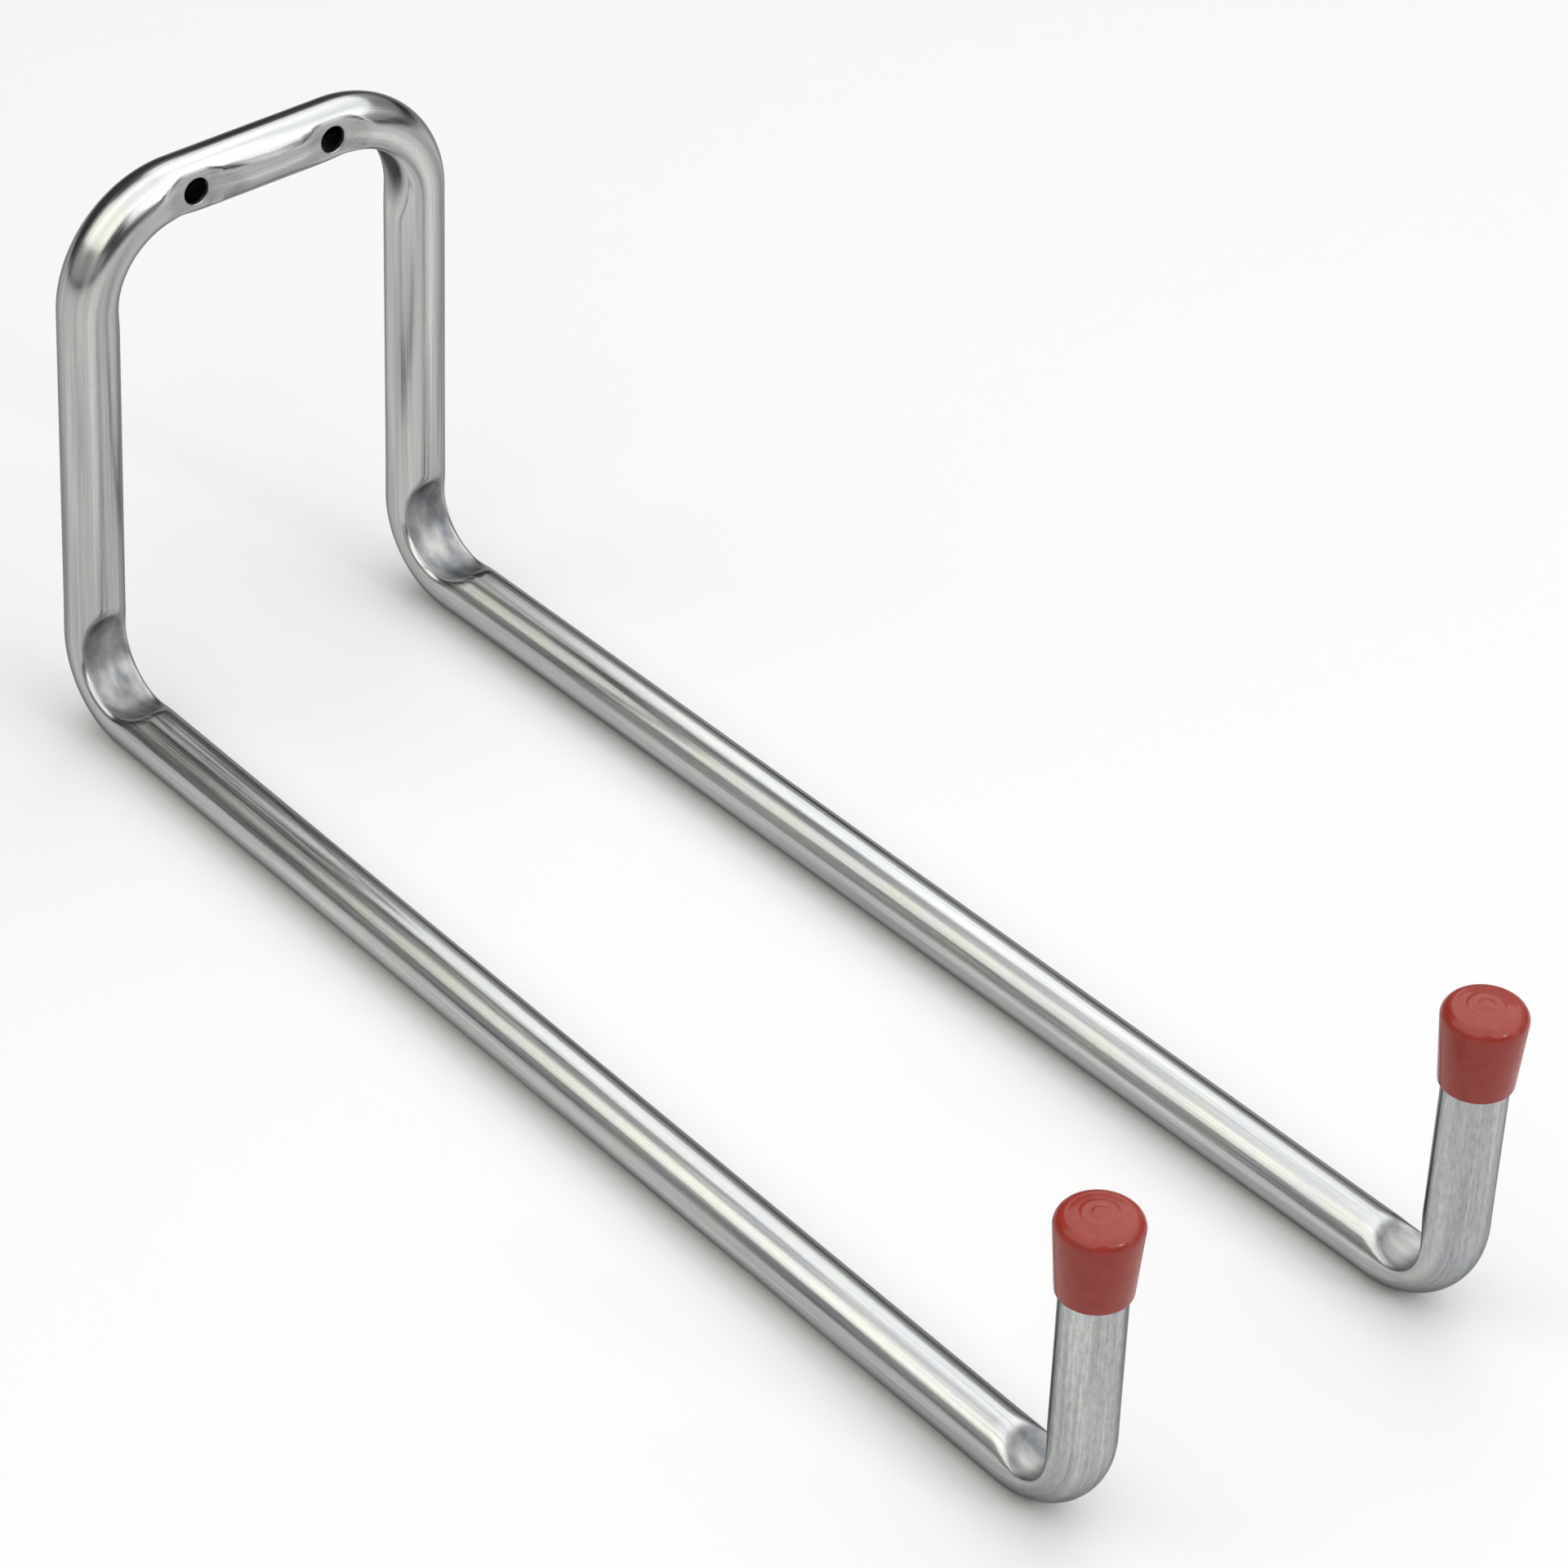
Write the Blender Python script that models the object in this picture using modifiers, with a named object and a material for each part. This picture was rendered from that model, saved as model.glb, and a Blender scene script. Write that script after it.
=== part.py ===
"""Tubular wall hook: one bent steel tube and the two push-on caps that close its ends.

Metres, +Z up. The wall is the plane Y = 0 and the arms reach out from it along -Y. The origin is on
the wall, behind the middle of the crossbar. The hook is symmetric about X = 0.
"""

import math
from typing import NamedTuple

import bpy
from mathutils import Quaternion, Vector

# Tube stock
TUBE_RADIUS = 0.006
TUBE_WALL = 0.001
TUBE_SIDES = 24

# Route of the tube's axis, before its corners are rounded; only the right half is made, then mirrored
CROSSBAR_WIDTH = 0.077  # between the legs, at the crossbar
FOOT_WIDTH = 0.079  # between the legs, where they turn into the arms
ARM_END_WIDTH = 0.088  # between the arms, where they turn up
TIP_WIDTH = 0.089  # between the open ends of the tube
LEG_DROP = 0.107
ARM_REACH = 0.292
TIP_RISE = 0.0618

# Bends, by the radius of the tube's axis
CORNER_RADIUS = 0.0205
FOOT_RADIUS = 0.0145
FRONT_RADIUS = 0.016
BEND_STEPS = 8

# The dish that the bending former presses into the inside of each bend
CORNER_DISH_DEPTH = 0.0025
FOOT_DISH_DEPTH = 0.004
FRONT_DISH_DEPTH = 0.0065
DISH_RAMP = 0.35  # share of the bend over which the dish deepens, and again fades

# Screw holes through the crossbar, and the seat pressed flat round each
HOLE_RADIUS = 0.00275
HOLE_SPACING = 0.032
HOLE_SIDES = 32
SEAT_DEPTH = 0.0017
SEAT_HALF_LENGTH = 0.006
SEAT_RAMP = 0.005
SEAT_STEPS = 3
CUTTER_LENGTH = 0.03

# End caps: a flared cup with a rounded top edge and a slightly crowned top
FIT_GAP = 0.0003
CAP_LENGTH = 0.0165
CAP_RIM_RADIUS = 0.0068
CAP_TOP_RADIUS = 0.0078
CAP_EDGE_ROUND = 0.0024
CAP_CROWN = 0.0005
CAP_RIM_ROUND = 0.0002
CAP_TOP_THICKNESS = 0.0022
CAP_STEPS = 32
ARC_POINTS = 5

MERGE_DISTANCE = 0.00001
SHARP_ANGLE = math.radians(35)

STEEL = {"colour": (0.66, 0.67, 0.66, 1), "metallic": 1.0, "roughness": 0.28}
RED_PLASTIC = {"colour": (0.36, 0.045, 0.035, 1), "metallic": 0.0, "roughness": 0.42}


class Bend(NamedTuple):
    """A bend of the tube's axis: start points from the centre to where the bend begins."""

    centre: Vector
    start: Vector
    axis: Vector
    angle: float

    def point(self, share):
        return self.centre + Quaternion(self.axis, self.angle * share) @ self.start


def clear_scene():
    for obj in list(bpy.data.objects):
        bpy.data.objects.remove(obj, do_unlink=True)


def new_collection(name):
    collection = bpy.data.collections.new(name)
    bpy.context.scene.collection.children.link(collection)
    return collection


def make_material(name, look):
    material = bpy.data.materials.new(name)
    material.use_nodes = True
    shader = material.node_tree.nodes["Principled BSDF"]
    shader.inputs["Base Color"].default_value = look["colour"]
    shader.inputs["Metallic"].default_value = look["metallic"]
    shader.inputs["Roughness"].default_value = look["roughness"]
    material.diffuse_color = look["colour"]
    return material


def add_object(name, mesh, material, collection, parent):
    mesh.materials.clear()
    mesh.materials.append(material)
    obj = bpy.data.objects.new(name, mesh)
    collection.objects.link(obj)
    obj.parent = parent
    return obj


def smoothstep(value):
    value = min(max(value, 0.0), 1.0)
    return value * value * (3 - 2 * value)


def route_corners():
    """The corners of the tube's axis, from the middle of the crossbar to the right tip."""
    back = -TUBE_RADIUS
    front = back - ARM_REACH
    return [
        Vector((0, back, 0)),
        Vector((CROSSBAR_WIDTH / 2, back, 0)),
        Vector((FOOT_WIDTH / 2, back, -LEG_DROP)),
        Vector((ARM_END_WIDTH / 2, front, -LEG_DROP)),
        Vector((TIP_WIDTH / 2, front, TIP_RISE - LEG_DROP)),
    ]


def bend_at(before, corner, after, radius):
    """The bend of this radius that rounds a corner of the route."""
    back = (before - corner).normalized()
    ahead = (after - corner).normalized()
    half_angle = back.angle(ahead) / 2
    reach = radius / math.tan(half_angle)
    centre = corner + (back + ahead).normalized() * radius / math.sin(half_angle)
    start = corner + back * reach - centre
    end = corner + ahead * reach - centre
    return Bend(centre, start, start.cross(end).normalized(), start.angle(end))


def seat_stations():
    """Points of the straight crossbar's axis where the screw seat fades in."""
    flat_start = HOLE_SPACING / 2 - SEAT_HALF_LENGTH
    fade_start = flat_start - SEAT_RAMP
    steps = [fade_start + SEAT_RAMP * k / SEAT_STEPS for k in range(SEAT_STEPS + 1)]
    return [Vector((x, -TUBE_RADIUS, 0)) for x in steps]


def tube_route():
    """(points, bends): the rounded axis of the right half of the tube, and its three bends."""
    corners = route_corners()
    radii = [CORNER_RADIUS, FOOT_RADIUS, FRONT_RADIUS]
    bends = [bend_at(*corners[i : i + 3], radius) for i, radius in enumerate(radii)]
    points = [corners[0], *seat_stations()]
    for bend in bends:
        points += [bend.point(k / BEND_STEPS) for k in range(BEND_STEPS + 1)]
    points.append(corners[-1])
    return points, bends


def tube_mesh(points):
    """The outer skin of the tube along these points, open at both ends, as a mesh."""
    curve = bpy.data.curves.new("tube_axis", "CURVE")
    curve.dimensions = "3D"
    curve.twist_mode = "MINIMUM"
    curve.bevel_depth = TUBE_RADIUS
    curve.bevel_resolution = (TUBE_SIDES - 4) // 2
    spline = curve.splines.new("POLY")
    spline.points.add(len(points) - 1)
    for point, place in zip(spline.points, points):
        point.co = (*place, 1)
    axis = bpy.data.objects.new("tube_axis", curve)
    bpy.context.scene.collection.objects.link(axis)
    graph = bpy.context.evaluated_depsgraph_get()
    mesh = bpy.data.meshes.new_from_object(axis.evaluated_get(graph))
    mesh.name = "bent_tube"
    bpy.data.objects.remove(axis, do_unlink=True)
    return mesh


def press_bend(mesh, bend, depth):
    """Pushes the inside of a bend in to this depth, fading in and out along it."""
    radius = bend.start.length
    for vertex in mesh.vertices:
        offset = vertex.co - bend.centre
        across = offset.dot(bend.axis)
        outward = offset - bend.axis * across
        turn = math.atan2(bend.axis.dot(bend.start.cross(outward)), bend.start.dot(outward))
        share = turn / bend.angle
        fade = smoothstep(min(share, 1 - share) / DISH_RAMP)
        dish = radius - TUBE_RADIUS + depth * fade
        if 0 < share < 1 and abs(across) < 2 * TUBE_RADIUS and outward.length < dish:
            vertex.co = bend.centre + bend.axis * across + outward.normalized() * dish


def press_seat(mesh):
    """Flattens the crossbar's front round the screw hole."""
    for vertex in mesh.vertices:
        past_flat = abs(vertex.co.x - HOLE_SPACING / 2) - SEAT_HALF_LENGTH
        if past_flat < SEAT_RAMP:
            fade = 1 - smoothstep(past_flat / SEAT_RAMP)
            vertex.co.y = max(vertex.co.y, -2 * TUBE_RADIUS + SEAT_DEPTH * fade)


def shade(mesh):
    mesh.shade_smooth()
    mesh.set_sharp_from_angle(angle=SHARP_ANGLE)


def add_hole_cutter(x, collection):
    bpy.ops.mesh.primitive_cylinder_add(
        vertices=HOLE_SIDES,
        radius=HOLE_RADIUS,
        depth=CUTTER_LENGTH,
        location=(x, -TUBE_RADIUS, 0),
        rotation=(math.radians(90), 0, 0),
    )
    cutter = bpy.context.object
    cutter.name = "hole_cutter_left" if x < 0 else "hole_cutter_right"
    cutter.hide_render = True
    cutter.display_type = "WIRE"
    for owner in list(cutter.users_collection):
        owner.objects.unlink(cutter)
    collection.objects.link(cutter)
    return cutter


def add_tube(material, collection, cutters, parent):
    points, bends = tube_route()
    mesh = tube_mesh(points)
    for bend, depth in zip(bends, (CORNER_DISH_DEPTH, FOOT_DISH_DEPTH, FRONT_DISH_DEPTH)):
        press_bend(mesh, bend, depth)
    press_seat(mesh)
    shade(mesh)
    tube = add_object("bent_tube", mesh, material, collection, parent)
    halves = tube.modifiers.new("left_half", "MIRROR")
    halves.merge_threshold = MERGE_DISTANCE
    wall = tube.modifiers.new("wall", "SOLIDIFY")
    wall.thickness = TUBE_WALL
    wall.offset = -1
    for x in (-HOLE_SPACING / 2, HOLE_SPACING / 2):
        cut = tube.modifiers.new("screw_hole", "BOOLEAN")
        cut.operation = "DIFFERENCE"
        cut.solver = "EXACT"
        cut.object = add_hole_cutter(x, cutters)


def arc(centre_radius, centre_height, radius, start, end):
    """Points of an arc in the profile's plane, from one angle to another, in degrees."""
    angles = [math.radians(start + (end - start) * k / (ARC_POINTS - 1)) for k in range(ARC_POINTS)]
    return [
        (centre_radius + radius * math.cos(a), centre_height + radius * math.sin(a)) for a in angles
    ]


def cap_profile():
    """(radius, height) down the cap's outside, round its rim and up its bore. The rim is at height 0."""
    edge = CAP_TOP_RADIUS - CAP_EDGE_ROUND
    edge_height = CAP_LENGTH - CAP_CROWN - CAP_EDGE_ROUND
    rim = CAP_RIM_RADIUS - CAP_RIM_ROUND
    bore = TUBE_RADIUS + FIT_GAP
    bore_top = CAP_LENGTH - CAP_TOP_THICKNESS
    crown = [(edge * k / 3, CAP_LENGTH - CAP_CROWN * (k / 3) ** 2) for k in range(3)]
    side = arc(edge, edge_height, CAP_EDGE_ROUND, 90, 0)
    lip = arc(rim, CAP_RIM_ROUND, CAP_RIM_ROUND, 0, -90)
    return crown + side + lip + [(bore, 0), (bore, bore_top), (0, bore_top)]


def cap_mesh():
    profile = cap_profile()
    mesh = bpy.data.meshes.new("end_cap")
    edges = [(k, k + 1) for k in range(len(profile) - 1)]
    mesh.from_pydata([(radius, 0, height) for radius, height in profile], edges, [])
    return mesh


def add_cap(name, mesh, side, material, collection, parent):
    """A cap pushed on the tube's end, on the left (side -1) or on the right (side 1)."""
    before, tip = [Vector((side * p.x, p.y, p.z)) for p in route_corners()[-2:]]
    direction = (tip - before).normalized()
    cap = add_object(name, mesh, material, collection, parent)
    cap.location = tip - direction * (CAP_LENGTH - CAP_TOP_THICKNESS - FIT_GAP)
    cap.rotation_mode = "QUATERNION"
    cap.rotation_quaternion = Vector((0, 0, 1)).rotation_difference(direction)
    turned = cap.modifiers.new("turned", "SCREW")
    turned.steps = CAP_STEPS
    turned.render_steps = CAP_STEPS
    turned.use_merge_vertices = True
    turned.merge_threshold = MERGE_DISTANCE
    turned.use_smooth_shade = True


def main():
    clear_scene()
    hook = new_collection("wall_hook")
    cutters = new_collection("cutters")
    origin = bpy.data.objects.new("wall_origin", None)
    hook.objects.link(origin)
    add_tube(make_material("zinc_plated_steel", STEEL), hook, cutters, origin)
    plastic = make_material("red_plastic", RED_PLASTIC)
    mesh = cap_mesh()
    add_cap("end_cap_left", mesh, -1, plastic, hook, origin)
    add_cap("end_cap_right", mesh, 1, plastic, hook, origin)


main()
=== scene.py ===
"""Looks of the tubular wall hook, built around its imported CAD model.

The bent tube and its two end caps are rebuilt as fine meshes on the CAD's own sizes, with
procedural materials. A plain floor, a backdrop, studio lights and the camera complete the scene.
Lengths are in metres and angles in degrees.
"""

import math
from typing import NamedTuple

import bmesh
import bpy
import numpy as np
from mathutils import Matrix, Quaternion, Vector, kdtree

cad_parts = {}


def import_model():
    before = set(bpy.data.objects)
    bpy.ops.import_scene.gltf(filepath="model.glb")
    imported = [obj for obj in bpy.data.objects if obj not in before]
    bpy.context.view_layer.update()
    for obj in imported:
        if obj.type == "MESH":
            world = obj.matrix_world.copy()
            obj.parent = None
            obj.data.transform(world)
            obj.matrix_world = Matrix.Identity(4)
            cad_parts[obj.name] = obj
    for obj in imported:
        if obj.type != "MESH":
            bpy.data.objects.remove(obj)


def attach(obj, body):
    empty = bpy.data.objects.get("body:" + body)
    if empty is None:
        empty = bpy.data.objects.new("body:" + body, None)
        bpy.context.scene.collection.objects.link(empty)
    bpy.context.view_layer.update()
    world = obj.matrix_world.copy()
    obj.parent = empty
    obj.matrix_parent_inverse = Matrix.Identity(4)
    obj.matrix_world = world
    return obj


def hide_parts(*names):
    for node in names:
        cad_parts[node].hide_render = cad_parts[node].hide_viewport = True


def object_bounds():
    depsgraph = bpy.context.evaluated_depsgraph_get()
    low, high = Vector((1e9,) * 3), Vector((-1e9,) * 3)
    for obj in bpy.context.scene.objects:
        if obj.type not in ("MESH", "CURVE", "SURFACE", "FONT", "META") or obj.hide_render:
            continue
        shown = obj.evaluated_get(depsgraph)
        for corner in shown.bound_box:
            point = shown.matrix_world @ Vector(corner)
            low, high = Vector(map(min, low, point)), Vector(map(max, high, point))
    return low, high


class Former(NamedTuple):
    """The round former that a bend is pressed over, which leaves a dish on the bend's inside."""

    radius: float
    depth: float
    lip: float  # how softly the dish's edge is rounded
    swell: float  # how much wider the tube grows across the bend
    painted_darkness: float  # how dark the painted shade makes the zinc where it was pressed, from 0 to 1


class Pattern(NamedTuple):
    """A noise that a material is varied by. Its values lie about 0.5."""

    scale: float  # about how many features it has in a metre
    along: float = 1.0  # its scale along the tube, as a share of its scale across it
    detail: float = 3.0
    roughness: float = 0.5
    span: tuple = (0.36, 0.64)  # the values that give the first colour and the second


class Panel(NamedTuple):
    """A soft box, by the angles that it spans as seen from the camera's target.

    low and high turn about the arms' length, from the right up and over to the left. front and
    back lean along the arms, towards their tips where negative.
    """

    name: str
    low: float
    high: float
    front: float
    back: float
    radiance: float
    colour: tuple = (1, 1, 1)


# Tube stock and the route of its axis, as in the CAD model
TUBE_RADIUS = 0.006
TUBE_WALL = 0.001
CROSSBAR_WIDTH = 0.077
FOOT_WIDTH = 0.079
ARM_END_WIDTH = 0.088
TIP_WIDTH = 0.089
LEG_DROP = 0.107
ARM_REACH = 0.292
TIP_RISE = 0.0618
CORNER_RADIUS = 0.0205
FOOT_RADIUS = 0.0145
FRONT_RADIUS = 0.016

# The tube's mesh
TUBE_SIDES = 72
FINE_STEP = 0.00048  # between rings in and near a bend
COARSE_STEP = 0.006  # between rings along a straight run
BEND_MARGIN = 0.008  # how far past a bend the fine steps go on

# Dishes inside the bends
FRONT_FORMER = Former(0.0073, 0.0065, 0.0026, 0.04, 0.0)
FOOT_FORMER = Former(0.0101, 0.0042, 0.0018, 0.04, 0.0)
# The corner dishes are darkened with painted shade at full strength
CORNER_FORMER = Former(0.013, 0.0025, 0.0018, 0.0, 1.0)
FORMER_CROWN = 48.0  # curvature of a former's face across the bend, per metre
SCUFF_START = 0.0003  # pushed in less than this, the zinc keeps its shine
SCUFF_DEPTH = 0.0018  # pushed in this far, it is scuffed all over

# Screw holes and their seats
HOLE_RADIUS = 0.00275
HOLE_SPACING = 0.032
HOLE_PLACES = (-HOLE_SPACING / 2, HOLE_SPACING / 2)
HOLE_ROUND = 0.00035
HOLE_SIDES = 64
FLARE_POINTS = 6
CUTTER_RISE = 0.003  # how far a hole's cutter stands out past the seat
SEAT_DEPTH = 0.0017
SEAT_HALF_LENGTH = 0.0022  # of the flat round a hole
SEAT_REACH = 0.0068  # how far the dimple runs out past the flat
SEAT_LIP = 0.0013
SEAT_SCUFF = 0.45

# End caps
CAP_LENGTH = 0.0165
CAP_RIM_RADIUS = 0.0068
CAP_TOP_RADIUS = 0.0078
CAP_EDGE_ROUND = 0.0024
CAP_WALL_LEAN = 4  # where the round edge runs into the wall, which leans out towards the top
CAP_CROWN = 0.0005
CAP_RIM_ROUND = 0.0002
CAP_TOP_THICKNESS = 0.0022
CAP_STEPS = 96
CROWN_POINTS = 54
EDGE_POINTS = 12
LIP_POINTS = 6
FIT_GAP = 0.0003
CAP_MARK_RINGS = (0.0011, 0.003)  # radii of the raised moulding rings on the cap's top
CAP_MARK_HEIGHT = 0.00008
CAP_MARK_WIDTH = 0.0004

WELD_DISTANCE = 0.000001
SHARP_ANGLE = 38

# Zinc plate: drawing lines, colour bands, cloudy tint, dull grain, smears in the scuffs, painted
# shade in the corner dishes, and mottle at the tips
FINE_LINES = Pattern(2600, along=0.012, roughness=0.6)
BROAD_LINES = Pattern(620, along=0.025, detail=2.0)
LINE_SPAN = (0.36, 0.64)
LINE_COLOURS = ((0.368, 0.38, 0.386, 1), (0.605, 0.62, 0.60, 1))
LINE_RELIEF = 0.00003
BANDS = Pattern(300, along=0.02, detail=1.0)
BAND_TINTS = ((0.85, 0.85, 0.86, 1), (1.1, 1.1, 1.09, 1))
CLOUDS = Pattern(160, roughness=0.6, span=(0.35, 0.65))
CLOUD_TINTS = ((0.97, 0.96, 1.0, 1), (1.0, 1.0, 0.95, 1))
GRAIN = Pattern(1900, detail=2.0, span=(0.35, 0.65))
GRAIN_COLOUR = (0.42, 0.43, 0.45, 1)
GRAIN_SHARE = 0.25  # how much of the grain's colour shows at most
GRAIN_RELIEF = 0.000004
SMEARS = Pattern(190, along=0.5, roughness=0.6, span=(0.34, 0.66))
SMEAR_COLOURS = ((0.165, 0.175, 0.19, 1), (0.42, 0.415, 0.40, 1))
# Painted shade: darkens the scuffed zinc in the corner dishes
PAINTED_SHADE_TINT = (0.3, 0.29, 0.28, 1)
MOTTLE = Pattern(1500, along=0.3, roughness=0.65, span=(0.34, 0.66))
MOTTLE_TINTS = ((0.76, 0.77, 0.78, 1), (1.08, 1.08, 1.07, 1))
MOTTLE_REACH = (0.40, 0.435)  # distances along the tube, from its middle, where it sets in
MOTTLE_SHARES = (0.15, 0.9)  # how much of the mottle shows up to the first, and past the second
ZINC_EDGE_TINT = (0.4, 0.41, 0.42, 1)  # darkens the plate where it is seen edge on
ZINC_ROUGHNESS = (0.15, 0.27)
SCUFF_ROUGHNESS = 0.26  # added where the zinc is scuffed

# Soft PVC
PVC_MOTTLE = Pattern(500, span=(0.3, 0.7))
PVC_COLOURS = ((0.212, 0.018, 0.010, 1), (0.245, 0.024, 0.014, 1))
PVC_SHEEN = Pattern(900, span=(0.3, 0.7))
PVC_ROUGHNESS = (0.38, 0.50)
PVC_SKIN = Pattern(1500, detail=4.0)
PVC_RELIEF = 0.00001
PVC_SPECULAR = 0.2
PVC_COAT = 0.4
PVC_COAT_ROUGHNESS = 0.1

# Camera, at the photograph's angle
VIEW_AZIMUTH = -41.75
VIEW_ELEVATION = 36.45
VIEW_ROLL = 2.71
VIEW_DISTANCE = 1.130
VIEW_TARGET = Vector((0.0032, -0.1625, -0.0576))
VIEW_LENS = 143.5  # focal length and sensor in millimetres
SENSOR_WIDTH = 36.0

# Studio
FLOOR_SIZE = 8.0
FLOOR_COLOUR = (0.66, 0.66, 0.67, 1)
FLOOR_ROUGHNESS = 0.8
BACKDROP_RADIUS = 1.5
BACKDROP_SEGMENTS = 64
BACKDROP_COLOUR = (0.79, 0.79, 0.8, 1)
WORLD_BRIGHTNESS = 0.05
PANEL_DISTANCE = 1.8
PANELS = [
    Panel("right_box", 34, 83, -53, 42.5, 2.05),
    Panel("overhead", 84, 112, -53, 32, 1.85),
    Panel("overhead_back", 84, 112, 32, 37, 1.0),
    Panel("left_box", 112, 151, -37, 42, 1.95, (1, 0.97, 0.9)),
    Panel("right_front", 2, 36, -63, -50, 1.6),
    Panel("front_top", 55, 125, -67, -54, 1.6),
    Panel("front_card", 63, 80, -60, -52, 14.0),
    Panel("right_wall", 11, 34, -50, 43, 0.45),
    Panel("left_wall", 154, 176, -60, 42, 0.45),
]


class Bend(NamedTuple):
    """A bend of the tube's axis. start points from its centre to where it begins."""

    centre: Vector
    start: Vector
    axis: Vector
    angle: float  # in radians

    def point(self, share):
        return self.centre + Quaternion(self.axis, self.angle * share) @ self.start


class Skin(NamedTuple):
    """The tube's outside, as arrays over [ring, side]."""

    places: np.ndarray
    drawn: np.ndarray  # each point's place on the unbent tube, whose axis is Z
    scuffed: np.ndarray  # how scuffed it is, and how much painted shade darkens it, from 0 to 1
    painted_shade: np.ndarray


def smoothstep(value):
    value = np.clip(value, 0.0, 1.0)
    return value * value * (3 - 2 * value)


def soft_min(a, b, blend):
    """The lower of a and b, with the crease between them rounded over about blend."""
    near = np.maximum(blend - np.abs(a - b), 0) / blend
    return np.minimum(a, b) - near * near * blend / 4


def raise_to(values, places, others):
    """Raises the values at places to the others, where those are higher."""
    values[places] = np.maximum(values[places], others)


# ---------------------------------------------------------------- the tube's route


def route_corners():
    """The corners of the tube's axis, from the left tip round the crossbar to the right tip."""
    back = -TUBE_RADIUS
    front = back - ARM_REACH
    right = [
        Vector((CROSSBAR_WIDTH / 2, back, 0)),
        Vector((FOOT_WIDTH / 2, back, -LEG_DROP)),
        Vector((ARM_END_WIDTH / 2, front, -LEG_DROP)),
        Vector((TIP_WIDTH / 2, front, TIP_RISE - LEG_DROP)),
    ]
    return [Vector((-p.x, p.y, p.z)) for p in reversed(right)] + right


def bend_at(before, corner, after, radius):
    back = (before - corner).normalized()
    ahead = (after - corner).normalized()
    half_angle = back.angle(ahead) / 2
    reach = radius / math.tan(half_angle)
    centre = corner + (back + ahead).normalized() * radius / math.sin(half_angle)
    start = corner + back * reach - centre
    end = corner + ahead * reach - centre
    return Bend(centre, start, start.cross(end).normalized(), start.angle(end))


def straight(start, end):
    """Points from start to just before end, close together near the two ends only."""
    length = (end - start).length
    margin = min(BEND_MARGIN, length / 2)
    near = np.arange(0, margin, FINE_STEP)
    middle = np.arange(margin, length - margin, COARSE_STEP)
    places = np.concatenate([near, middle, (length - near)[::-1][:-1]])
    return [start.lerp(end, place / length) for place in places]


def tube_route():
    """The tube's axis as an array of points, and (bend, its first point, its last) for each bend."""
    corners = route_corners()
    radii = [FRONT_RADIUS, FOOT_RADIUS, CORNER_RADIUS]
    radii += radii[::-1]
    points = []
    bends = []
    at = corners[0]
    for number, radius in enumerate(radii):
        bend = bend_at(*corners[number : number + 3], radius)
        points += straight(at, bend.point(0))
        first = len(points)
        steps = math.ceil(radius * bend.angle / FINE_STEP)
        points += [bend.point(k / steps) for k in range(steps)]
        bends.append((bend, first, len(points)))
        at = bend.point(1)
    points += straight(at, corners[-1])
    points.append(corners[-1])
    return np.array(points), bends


def tangents(points):
    ways = np.gradient(points, axis=0)
    return ways / np.linalg.norm(ways, axis=1)[:, None]


def travelled(points):
    """Distance along the route, counted from its middle."""
    steps = np.linalg.norm(np.diff(points, axis=0), axis=1)
    along = np.concatenate([[0], np.cumsum(steps)])
    return along - along[-1] / 2


def carried_frames(ways):
    """A direction square to the route at each point, carried along it without twist."""
    side = np.empty_like(ways)
    side[0] = np.cross(ways[0], (0, 1, 0))
    for k in range(1, len(ways)):
        flat = side[k - 1] - ways[k] * (side[k - 1] @ ways[k])
        side[k] = flat / np.linalg.norm(flat)
    return side


# ---------------------------------------------------------------- the tube's skin


def round_skin(points, along):
    """The skin of a round tube along the points."""
    ways = tangents(points)
    side = carried_frames(ways)
    other = np.cross(ways, side)
    turn = np.linspace(0, 2 * math.pi, TUBE_SIDES, endpoint=False)
    across, up = TUBE_RADIUS * np.cos(turn), TUBE_RADIUS * np.sin(turn)
    places = points[:, None] + across[:, None] * side[:, None] + up[:, None] * other[:, None]
    drawn = np.stack(np.broadcast_arrays(across, up, along[:, None]), axis=2)
    unmarked = np.zeros(places.shape[:2])
    return Skin(places, drawn, unmarked, unmarked.copy())


def swollen(places, centres, axis, growth):
    """Rings of places, each widened along the axis by its share of growth."""
    across = ((places - centres[:, None]) @ axis)[..., None]
    return places + across * growth[:, None, None] * axis


def dish_bend(skin, points, along, bend, start, end, former):
    """Presses a former into the inside of a bend, swells and scuffs the tube there, and paints shade
    into the dish.

    The bend runs from start to end along the tube.
    """
    axis = np.array(bend.axis)
    middle = np.array(bend.point(0.5) - bend.centre)
    middle /= np.linalg.norm(middle)
    inner = np.linalg.norm(bend.start) - TUBE_RADIUS
    hub = np.array(bend.centre) + middle * (inner + former.depth - former.radius)
    reach = (end - start) / 2 + BEND_MARGIN
    off_middle = np.abs(along - (start + end) / 2)
    rings = np.flatnonzero(off_middle < reach)
    growth = former.swell * (1 - smoothstep(off_middle[rings] / reach))
    pressed = swollen(skin.places[rings], points[rings], axis, growth)
    offset = pressed - hub
    across = (offset @ axis)[..., None]
    spoke = offset - across * axis
    distance = np.linalg.norm(spoke, axis=2, keepdims=True)
    face = former.radius - FORMER_CROWN * across**2 / 2
    push = -soft_min(-distance, -face, former.lip) - distance
    skin.places[rings] = pressed + spoke / distance * push
    scuff = smoothstep((push[..., 0] - SCUFF_START) / (SCUFF_DEPTH - SCUFF_START))
    raise_to(skin.scuffed, rings, scuff)
    # Painted shade, which darkens the corner dishes
    raise_to(skin.painted_shade, rings, scuff * former.painted_darkness)


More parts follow.
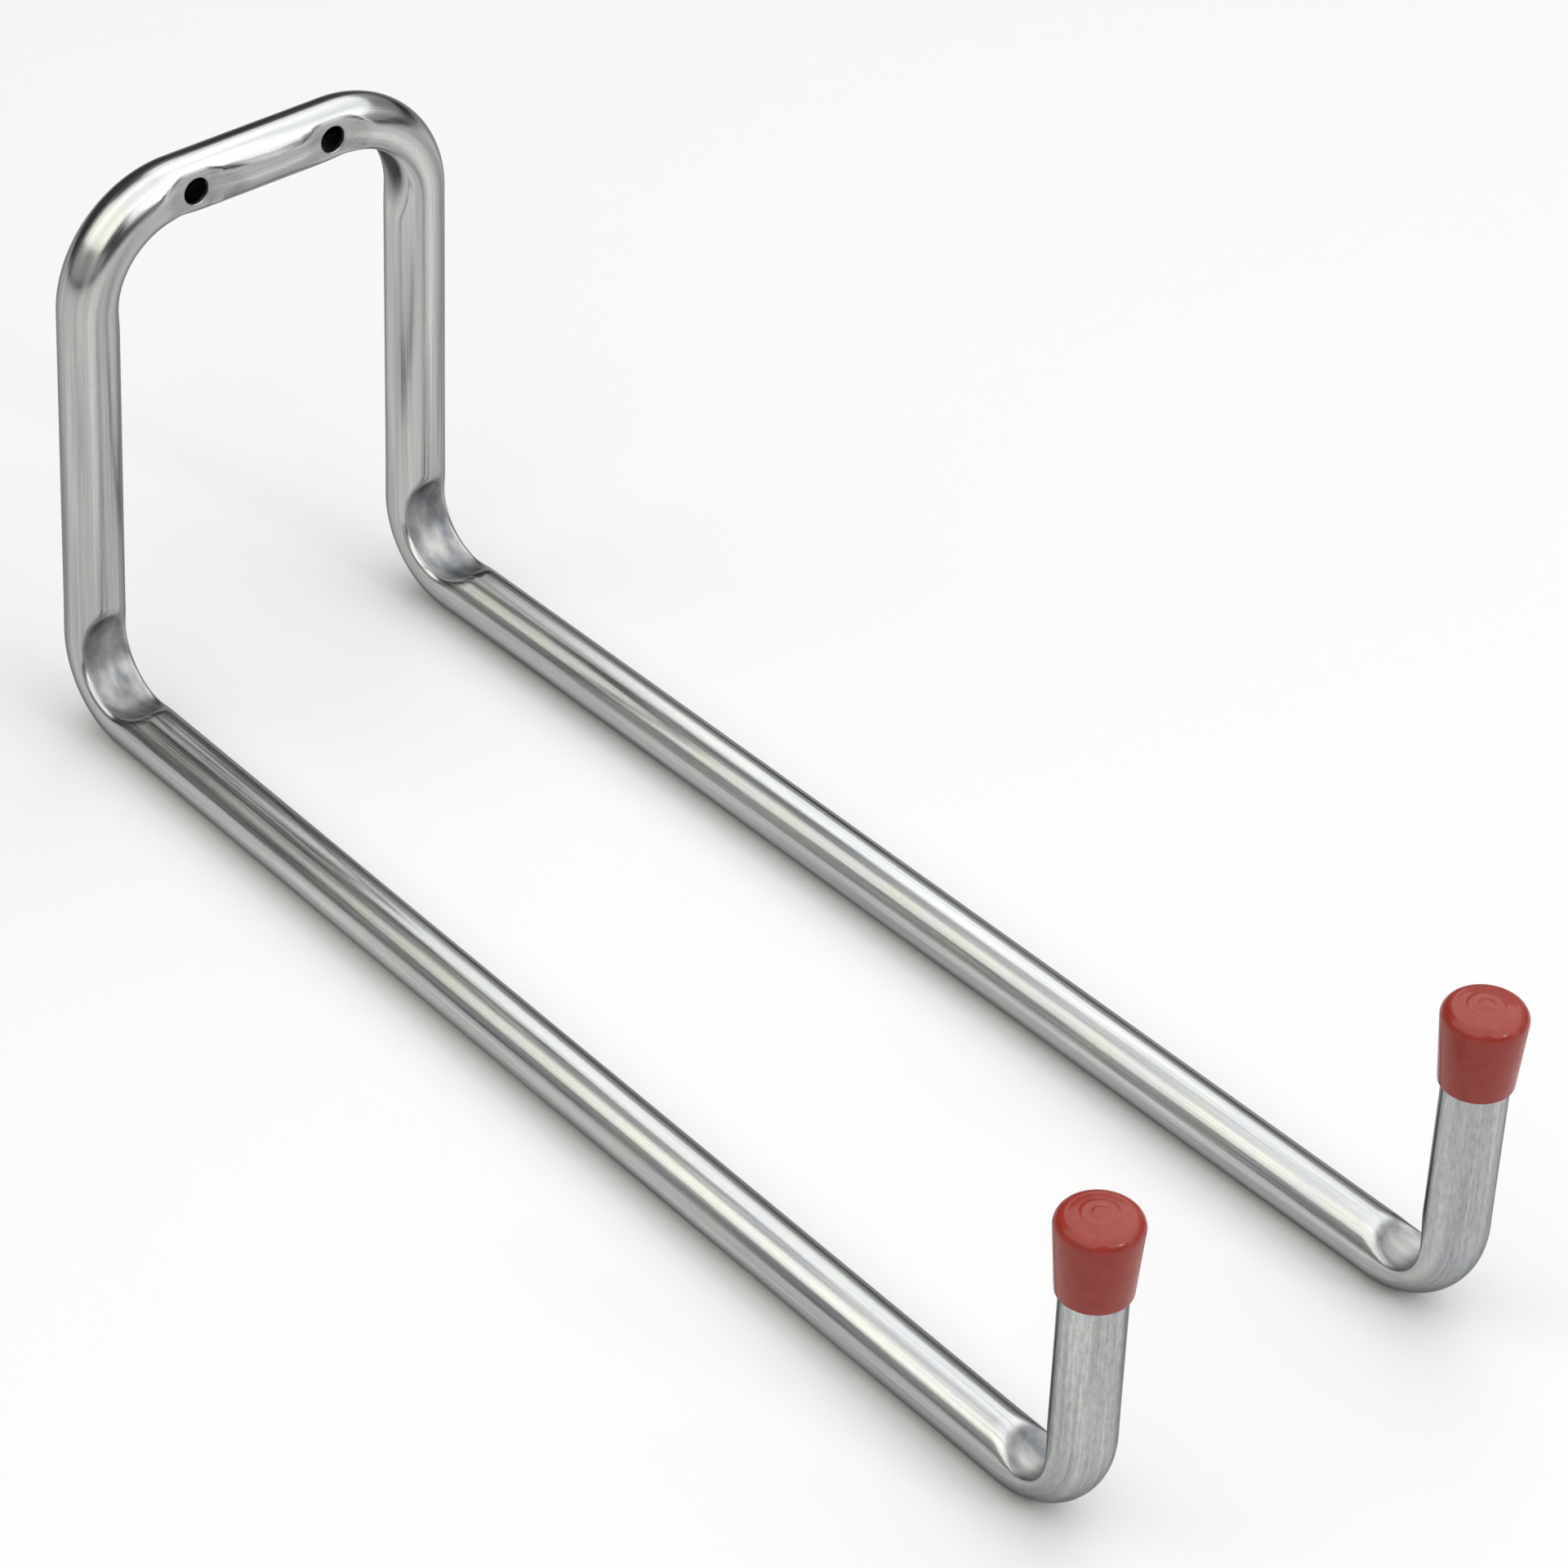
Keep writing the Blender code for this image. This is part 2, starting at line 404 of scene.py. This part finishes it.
def press_seat(skin, x):
    """Dimples the crossbar's front round the screw hole at x, and scuffs it there."""
    past_flat = np.maximum(np.abs(skin.places[..., 0] - x) - SEAT_HALF_LENGTH, 0)
    near = (past_flat < 2 * SEAT_REACH) & (skin.places[..., 2] > -LEG_DROP / 2)
    fade = np.exp(-2 * (past_flat[near] / SEAT_REACH) ** 2)
    front = -skin.places[..., 1][near]
    face = soft_min(front, 2 * TUBE_RADIUS - SEAT_DEPTH * fade, SEAT_LIP * fade)
    skin.places[..., 1][near] = -face
    raise_to(skin.scuffed, near, SEAT_SCUFF * smoothstep((front - face) / SEAT_LIP))


def pressed_skin():
    """The tube's skin with its dished bends and its screw seats."""
    points, bends = tube_route()
    along = travelled(points)
    skin = round_skin(points, along)
    formers = [FRONT_FORMER, FOOT_FORMER, CORNER_FORMER]
    for (bend, first, last), former in zip(bends, formers + formers[::-1]):
        dish_bend(skin, points, along, bend, along[first], along[last], former)
    for x in HOLE_PLACES:
        press_seat(skin, x)
    return skin


# ---------------------------------------------------------------- meshes


def add_object(name, mesh):
    obj = bpy.data.objects.new(name, mesh)
    bpy.context.scene.collection.objects.link(obj)
    return obj


def mesh_from(name, shape):
    mesh = bpy.data.meshes.new(name)
    shape.to_mesh(mesh)
    shape.free()
    return mesh


def shade(mesh):
    mesh.shade_smooth()
    mesh.set_sharp_from_angle(angle=math.radians(SHARP_ANGLE))


def loft(name, rings):
    """An open tube mesh through rings of places, with its faces outward."""
    count, sides = rings.shape[:2]
    ring, side = np.meshgrid(np.arange(count - 1), np.arange(sides), indexing="ij")
    this, after = ring * sides, (ring + 1) * sides
    beside = (side + 1) % sides
    faces = np.stack([this + side, this + beside, after + beside, after + side], axis=2)
    mesh = bpy.data.meshes.new(name)
    mesh.from_pydata(rings.reshape(-1, 3).tolist(), [], faces.reshape(-1, 4).tolist())
    return mesh


def turned_mesh(name, profile, steps):
    """A mesh turned about Z from (radius, height) points that run down its outside."""
    shape = bmesh.new()
    points = [shape.verts.new((radius, 0, height)) for radius, height in profile]
    edges = [shape.edges.new(pair) for pair in zip(points, points[1:])]
    bmesh.ops.spin(
        shape,
        geom=points + edges,
        cent=(0, 0, 0),
        axis=(0, 0, 1),
        angle=2 * math.pi,
        steps=steps,
        use_merge=True,
    )
    bmesh.ops.remove_doubles(shape, verts=shape.verts, dist=WELD_DISTANCE)
    bmesh.ops.recalc_face_normals(shape, faces=shape.faces)
    return mesh_from(name, shape)


def arc(centre_radius, centre_height, radius, start, end, count):
    """Points of an arc in a profile's plane, from one angle to another."""
    angles = np.radians(np.linspace(start, end, count))
    return [
        (centre_radius + radius * math.cos(angle), centre_height + radius * math.sin(angle))
        for angle in angles
    ]


# ---------------------------------------------------------------- the bent tube


def hole_cutter(x):
    """A turned cutter through both walls, flared at the seat so that the hole's edge is rounded."""
    seat = TUBE_RADIUS - SEAT_DEPTH
    flare_radius = HOLE_RADIUS + HOLE_ROUND
    top = seat + CUTTER_RISE
    bottom = -2 * TUBE_RADIUS
    flare = arc(flare_radius, seat - HOLE_ROUND, HOLE_ROUND, 90, 180, FLARE_POINTS)
    profile = [(0, top), (flare_radius, top)] + flare + [(HOLE_RADIUS, bottom), (0, bottom)]
    cutter = add_object("hole_cutter", turned_mesh("hole_cutter", profile, HOLE_SIDES))
    cutter.location = (x, -TUBE_RADIUS, 0)
    cutter.rotation_euler = (math.radians(90), 0, 0)
    return cutter


def apply_modifiers(obj):
    graph = bpy.context.evaluated_depsgraph_get()
    mesh = bpy.data.meshes.new_from_object(obj.evaluated_get(graph))
    obj.modifiers.clear()
    obj.data = mesh


def thicken_and_drill(tube):
    """Gives the tube's skin its wall, and cuts the screw holes through it."""
    wall = tube.modifiers.new("wall", "SOLIDIFY")
    wall.thickness = TUBE_WALL
    wall.offset = -1
    cutters = [hole_cutter(x) for x in HOLE_PLACES]
    for cutter in cutters:
        cut = tube.modifiers.new("screw_hole", "BOOLEAN")
        cut.operation = "DIFFERENCE"
        cut.solver = "EXACT"
        cut.object = cutter
    apply_modifiers(tube)
    for cutter in cutters:
        bpy.data.objects.remove(cutter, do_unlink=True)


def mark_places(mesh, skin):
    """Stores each vertex's place on the unbent tube, how scuffed it is and its painted shade, for
    the material.
    """
    tree = kdtree.KDTree(skin.scuffed.size)
    for k, place in enumerate(skin.places.reshape(-1, 3)):
        tree.insert(place, k)
    tree.balance()
    nearest = [tree.find(vertex.co)[1] for vertex in mesh.vertices]
    unbent = mesh.attributes.new("drawn", "FLOAT_VECTOR", "POINT")
    unbent.data.foreach_set("vector", skin.drawn.reshape(-1, 3)[nearest].ravel())
    for name, marks in (("scuffed", skin.scuffed), ("painted_shade", skin.painted_shade)):
        stored = mesh.attributes.new(name, "FLOAT", "POINT")
        stored.data.foreach_set("value", marks.ravel()[nearest])


def build_tube():
    skin = pressed_skin()
    tube = add_object("zinc_tube", loft("zinc_tube", skin.places))
    thicken_and_drill(tube)
    mark_places(tube.data, skin)
    shade(tube.data)
    return tube


# ---------------------------------------------------------------- the end caps


def cap_profile():
    """(radius, height) down the cap's outside, round its rim and up its bore. The rim is at 0."""
    edge = CAP_TOP_RADIUS - CAP_EDGE_ROUND
    edge_height = CAP_LENGTH - CAP_CROWN - CAP_EDGE_ROUND
    rim = CAP_RIM_RADIUS - CAP_RIM_ROUND
    bore = TUBE_RADIUS + FIT_GAP
    bore_top = CAP_LENGTH - CAP_TOP_THICKNESS
    radii = np.linspace(0, edge, CROWN_POINTS, endpoint=False)
    heights = CAP_LENGTH - CAP_CROWN * (radii / edge) ** 2
    for ring in CAP_MARK_RINGS:
        heights += CAP_MARK_HEIGHT * np.exp(-(((radii - ring) / CAP_MARK_WIDTH) ** 2))
    crown = list(zip(radii.tolist(), heights.tolist()))
    edge_points = arc(edge, edge_height, CAP_EDGE_ROUND, 90, CAP_WALL_LEAN, EDGE_POINTS)
    lip = arc(rim, CAP_RIM_ROUND, CAP_RIM_ROUND, 0, -90, LIP_POINTS)
    return crown + edge_points + lip + [(bore, 0), (bore, bore_top), (0, bore_top)]


def build_cap(name, side):
    """A cap on the tube's end, on the left (side -1) or on the right (side 1)."""
    before, tip = [Vector((side * p.x, p.y, p.z)) for p in route_corners()[-2:]]
    direction = (tip - before).normalized()
    cap = add_object(name, turned_mesh(name, cap_profile(), CAP_STEPS))
    rim = tip - direction * (CAP_LENGTH - CAP_TOP_THICKNESS - FIT_GAP)
    turn = Vector((0, 0, 1)).rotation_difference(direction)
    cap.data.transform(Matrix.Translation(rim) @ turn.to_matrix().to_4x4())
    shade(cap.data)
    return cap


# ---------------------------------------------------------------- materials


class Nodes:
    """A material's shader nodes, with a short way to add and link them."""

    def __init__(self, name):
        self.material = bpy.data.materials.new(name)
        self.material.use_nodes = True
        self.tree = self.material.node_tree
        self.shader = self.tree.nodes["Principled BSDF"]

    def feed(self, socket, value):
        """Links the socket to value where that is another socket, or else sets it to value."""
        if isinstance(value, bpy.types.NodeSocket):
            self.tree.links.new(value, socket)
        else:
            socket.default_value = value

    def set(self, name, value):
        self.feed(self.shader.inputs[name], value)

    def add(self, kind, settings, inputs):
        """A new node with its settings, and with its inputs by name or number."""
        node = self.tree.nodes.new(kind)
        for key, value in settings.items():
            setattr(node, key, value)
        for key, value in inputs.items():
            self.feed(node.inputs[key], value)
        return node

    def attribute(self, name, output):
        return self.add("ShaderNodeAttribute", {"attribute_name": name}, {}).outputs[output]

    def object_place(self):
        return self.add("ShaderNodeTexCoord", {}, {}).outputs["Object"]

    def math(self, operation, first, second):
        return self.add("ShaderNodeMath", {"operation": operation}, {0: first, 1: second}).outputs[0]

    def mean(self, first, second):
        return self.math("MULTIPLY", self.math("ADD", first, second), 0.5)

    def stretch(self, vector, factors):
        settings = {"operation": "MULTIPLY"}
        return self.add("ShaderNodeVectorMath", settings, {0: vector, 1: factors}).outputs[0]

    def length(self, vector):
        settings = {"operation": "LENGTH"}
        return self.add("ShaderNodeVectorMath", settings, {0: vector}).outputs["Value"]

    def noise(self, vector, pattern):
        inputs = {
            "Vector": self.stretch(vector, (1.0, 1.0, pattern.along)),
            "Scale": pattern.scale,
            "Detail": pattern.detail,
            "Roughness": pattern.roughness,
        }
        return self.add("ShaderNodeTexNoise", {}, inputs).outputs["Fac"]

    def remap(self, value, span, result=(0.0, 1.0)):
        """value with its span moved to the result's ends, and cut off there."""
        names = ("From Min", "From Max", "To Min", "To Max")
        inputs = {"Value": value, **dict(zip(names, span + result))}
        return self.add("ShaderNodeMapRange", {}, inputs).outputs["Result"]

    def blend(self, factor, first, second, way="MIX"):
        settings = {"data_type": "RGBA", "blend_type": way}
        return self.add("ShaderNodeMix", settings, {0: factor, 6: first, 7: second}).outputs[2]

    def multiply(self, colour, tint, share=1.0):
        return self.blend(share, colour, tint, "MULTIPLY")

    def coloured(self, vector, pattern, colours):
        """The pattern, from the first colour to the second."""
        return self.blend(self.remap(self.noise(vector, pattern), pattern.span), *colours)

    def bump(self, height, distance):
        inputs = {"Height": height, "Distance": distance, "Strength": 1.0}
        return self.add("ShaderNodeBump", {}, inputs)


def zinc_material():
    """Bright zinc plate on drawn steel tube, scuffed where the tube was pressed, with painted shade
    in the corner dishes.
    """
    m = Nodes("zinc_plate")
    drawn = m.attribute("drawn", "Vector")
    scuffed = m.attribute("scuffed", "Fac")
    lines = m.mean(m.noise(drawn, FINE_LINES), m.noise(drawn, BROAD_LINES))
    grain = m.noise(drawn, GRAIN)
    from_middle = m.length(m.stretch(drawn, (0.0, 0.0, 1.0)))
    mottled = m.remap(from_middle, MOTTLE_REACH, MOTTLE_SHARES)
    bright = m.blend(m.remap(lines, LINE_SPAN), *LINE_COLOURS)
    bright = m.multiply(bright, m.coloured(drawn, BANDS, BAND_TINTS))
    bright = m.multiply(bright, m.coloured(drawn, CLOUDS, CLOUD_TINTS))
    bright = m.multiply(bright, m.coloured(drawn, MOTTLE, MOTTLE_TINTS), mottled)
    bright = m.blend(m.remap(grain, GRAIN.span, (0.0, GRAIN_SHARE)), bright, GRAIN_COLOUR)
    dark = m.coloured(drawn, SMEARS, SMEAR_COLOURS)
    # Painted shade in the corner dishes, over their scuffed zinc
    dark = m.multiply(dark, PAINTED_SHADE_TINT, m.attribute("painted_shade", "Fac"))
    m.set("Base Color", m.blend(scuffed, bright, dark))
    m.set("Metallic", 1.0)
    m.set("Specular Tint", ZINC_EDGE_TINT)
    roughness = m.remap(lines, LINE_SPAN, ZINC_ROUGHNESS)
    m.set("Roughness", m.math("ADD", roughness, m.math("MULTIPLY", scuffed, SCUFF_ROUGHNESS)))
    relief = m.bump(grain, GRAIN_RELIEF)
    m.feed(relief.inputs["Normal"], m.bump(lines, LINE_RELIEF).outputs["Normal"])
    m.set("Normal", relief.outputs["Normal"])
    return m.material


def plastic_material():
    """Soft red PVC: satin skin with a faint mottle and a little gloss."""
    m = Nodes("red_pvc")
    place = m.object_place()
    m.set("Base Color", m.coloured(place, PVC_MOTTLE, PVC_COLOURS))
    m.set("Roughness", m.remap(m.noise(place, PVC_SHEEN), PVC_SHEEN.span, PVC_ROUGHNESS))
    m.set("Specular IOR Level", PVC_SPECULAR)
    m.set("Coat Weight", PVC_COAT)
    m.set("Coat Roughness", PVC_COAT_ROUGHNESS)
    m.set("Normal", m.bump(m.noise(place, PVC_SKIN), PVC_RELIEF).outputs["Normal"])
    return m.material


def floor_material():
    m = Nodes("floor")
    m.set("Base Color", FLOOR_COLOUR)
    m.set("Roughness", FLOOR_ROUGHNESS)
    return m.material


def backdrop_material():
    m = Nodes("backdrop")
    m.set("Base Color", (0, 0, 0, 1))
    m.set("Specular IOR Level", 0.0)
    m.set("Emission Color", BACKDROP_COLOUR)
    m.set("Emission Strength", 1.0)
    return m.material


# ---------------------------------------------------------------- studio


def add_floor(height):
    shape = bmesh.new()
    bmesh.ops.create_grid(shape, x_segments=1, y_segments=1, size=FLOOR_SIZE / 2)
    floor = add_object("floor", mesh_from("floor", shape))
    floor.data.materials.append(floor_material())
    floor.location.z = height


def add_backdrop(height):
    """A pale dome that only the camera sees, so that a low view has a plain background."""
    shape = bmesh.new()
    bmesh.ops.create_uvsphere(
        shape,
        u_segments=BACKDROP_SEGMENTS,
        v_segments=BACKDROP_SEGMENTS // 2,
        radius=BACKDROP_RADIUS,
    )
    backdrop = add_object("backdrop", mesh_from("backdrop", shape))
    backdrop.data.materials.append(backdrop_material())
    backdrop.data.shade_smooth()
    backdrop.location = (VIEW_TARGET.x, VIEW_TARGET.y, height)
    for kind in ("diffuse", "glossy", "transmission", "volume_scatter", "shadow"):
        setattr(backdrop, "visible_" + kind, False)


def add_panel(panel):
    middle = math.radians((panel.low + panel.high) / 2)
    way = Vector((math.cos(middle), 0, math.sin(middle)))
    ahead, behind = (math.tan(math.radians(angle)) for angle in (panel.front, panel.back))
    light = bpy.data.lights.new(panel.name, "AREA")
    light.shape = "RECTANGLE"
    light.size = PANEL_DISTANCE * (behind - ahead)
    light.size_y = 2 * PANEL_DISTANCE * math.tan(math.radians((panel.high - panel.low) / 2))
    light.energy = panel.radiance * math.pi * light.size * light.size_y
    light.color = panel.colour
    lamp = add_object(panel.name, light)
    lamp.location = VIEW_TARGET + PANEL_DISTANCE * (way + Vector((0, (ahead + behind) / 2, 0)))
    lamp.rotation_mode = "QUATERNION"
    lamp.rotation_quaternion = (-way).to_track_quat("-Z", "Y")


def add_world():
    world = bpy.data.worlds.new("studio")
    bpy.context.scene.world = world
    world.use_nodes = True
    background = world.node_tree.nodes["Background"]
    background.inputs["Color"].default_value = (1, 1, 1, 1)
    background.inputs["Strength"].default_value = WORLD_BRIGHTNESS


def add_camera():
    azimuth, elevation, roll = map(math.radians, (VIEW_AZIMUTH, VIEW_ELEVATION, VIEW_ROLL))
    back = Vector(
        (
            math.sin(azimuth) * math.cos(elevation),
            -math.cos(azimuth) * math.cos(elevation),
            math.sin(elevation),
        )
    )
    level = Vector((math.cos(azimuth), math.sin(azimuth), 0))
    right = Quaternion(back, roll) @ level
    up = back.cross(right)
    lens = bpy.data.cameras.new("camera")
    lens.sensor_width = SENSOR_WIDTH
    lens.lens = VIEW_LENS
    camera = add_object("camera", lens)
    camera.rotation_mode = "QUATERNION"
    camera.rotation_quaternion = Matrix((right, up, back)).transposed().to_quaternion()
    camera.location = VIEW_TARGET + back * VIEW_DISTANCE
    bpy.context.scene.camera = camera


def main():
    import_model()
    cad_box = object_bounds()
    add_camera()
    tube = build_tube()
    tube.data.materials.clear()
    tube.data.materials.append(zinc_material())
    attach(tube, "root")
    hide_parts("bent_tube")
    plastic = plastic_material()
    for name, node, side in (
        ("pvc_cap_left", "end_cap_left", -1),
        ("pvc_cap_right", "end_cap_right", 1),
    ):
        cap = build_cap(name, side)
        cap.data.materials.append(plastic)
        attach(cap, "root")
        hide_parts(node)
    add_floor(cad_box[0].z)
    add_backdrop(cad_box[0].z)
    for panel in PANELS:
        add_panel(panel)
    add_world()
    bpy.context.scene.view_settings.view_transform = "Standard"


main()
